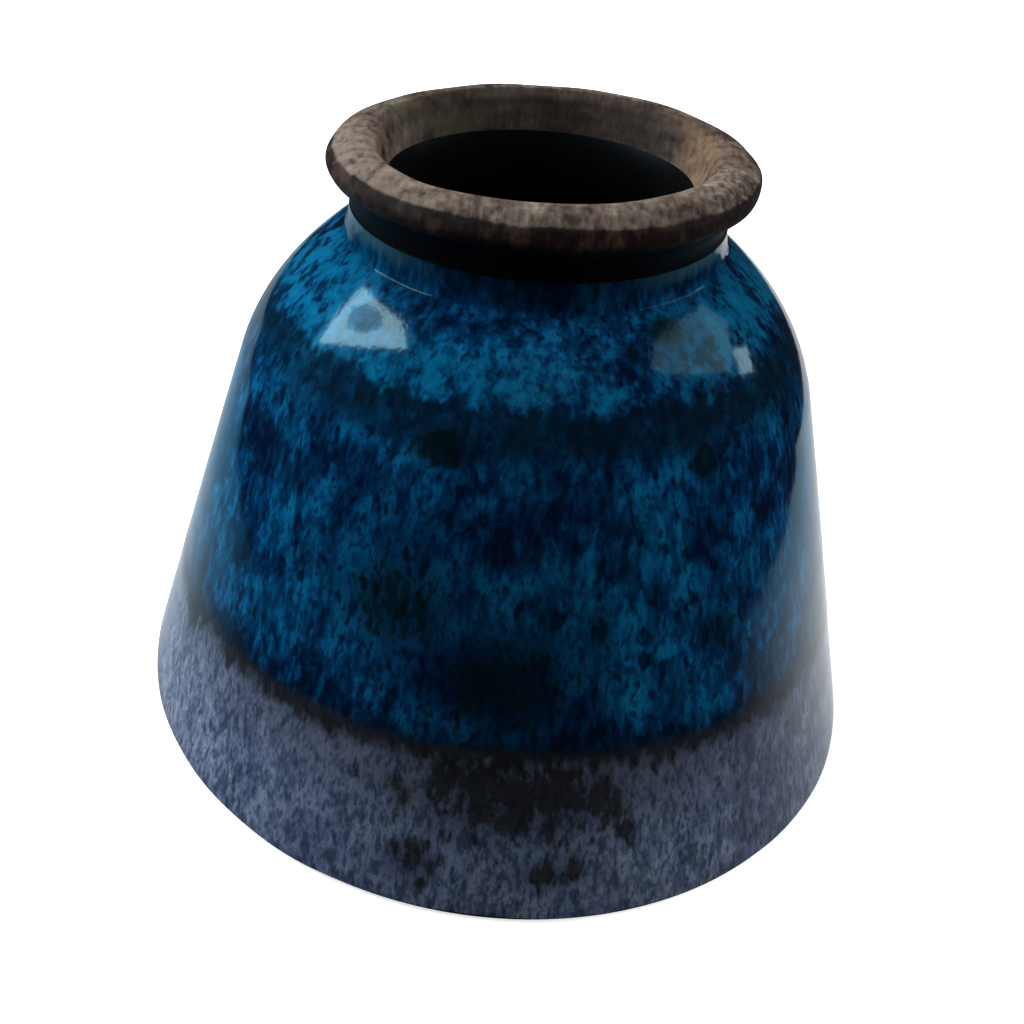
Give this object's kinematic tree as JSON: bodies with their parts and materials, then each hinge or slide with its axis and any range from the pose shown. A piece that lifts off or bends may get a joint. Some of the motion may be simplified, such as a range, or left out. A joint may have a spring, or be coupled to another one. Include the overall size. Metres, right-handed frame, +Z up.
{
  "type": "ceramic bud vase",
  "caption": "Squat round bud vase with a flat foot, a wall that leans inwards, a rounded shoulder, a short hollowed neck and a flared rolled lip around an open throat.",
  "frame": {"origin": "centre of the foot, on the surface the vase stands on", "axes": "+Z up along the vase's axis of turning, out of the mouth; X and Y are equivalent"},
  "size_m": [0.0816, 0.0816, 0.0636],
  "materials": {
    "clay_body": "unglazed dark stoneware, ground smooth on the foot ring",
    "clay_floor": "unglazed dark stoneware, sponged",
    "clay_neck": "unglazed dark stoneware",
    "slip": "thin pale glaze over slip, glossy",
    "blue_glaze": "glossy mottled blue glaze with dark runs",
    "dark_glaze": "glossy doubled glaze, near black",
    "lavender_glaze": "glossy grey lavender glaze with dark flecks",
    "iron_glaze": "satin brown iron glaze, black in the hollow of the neck",
    "liner_glaze": "black liner glaze"
  },
  "bodies": {
    "root": {"body_wall": "clay_body", "floor_slab": "clay_floor", "neck_collar": "clay_neck", "lute_fillet": "slip", "shoulder_glaze": "blue_glaze", "overlap_roll": "dark_glaze", "foot_glaze": "lavender_glaze", "lip_glaze": "iron_glaze", "liner_glaze": "liner_glaze"}
  },
  "joints": []
}
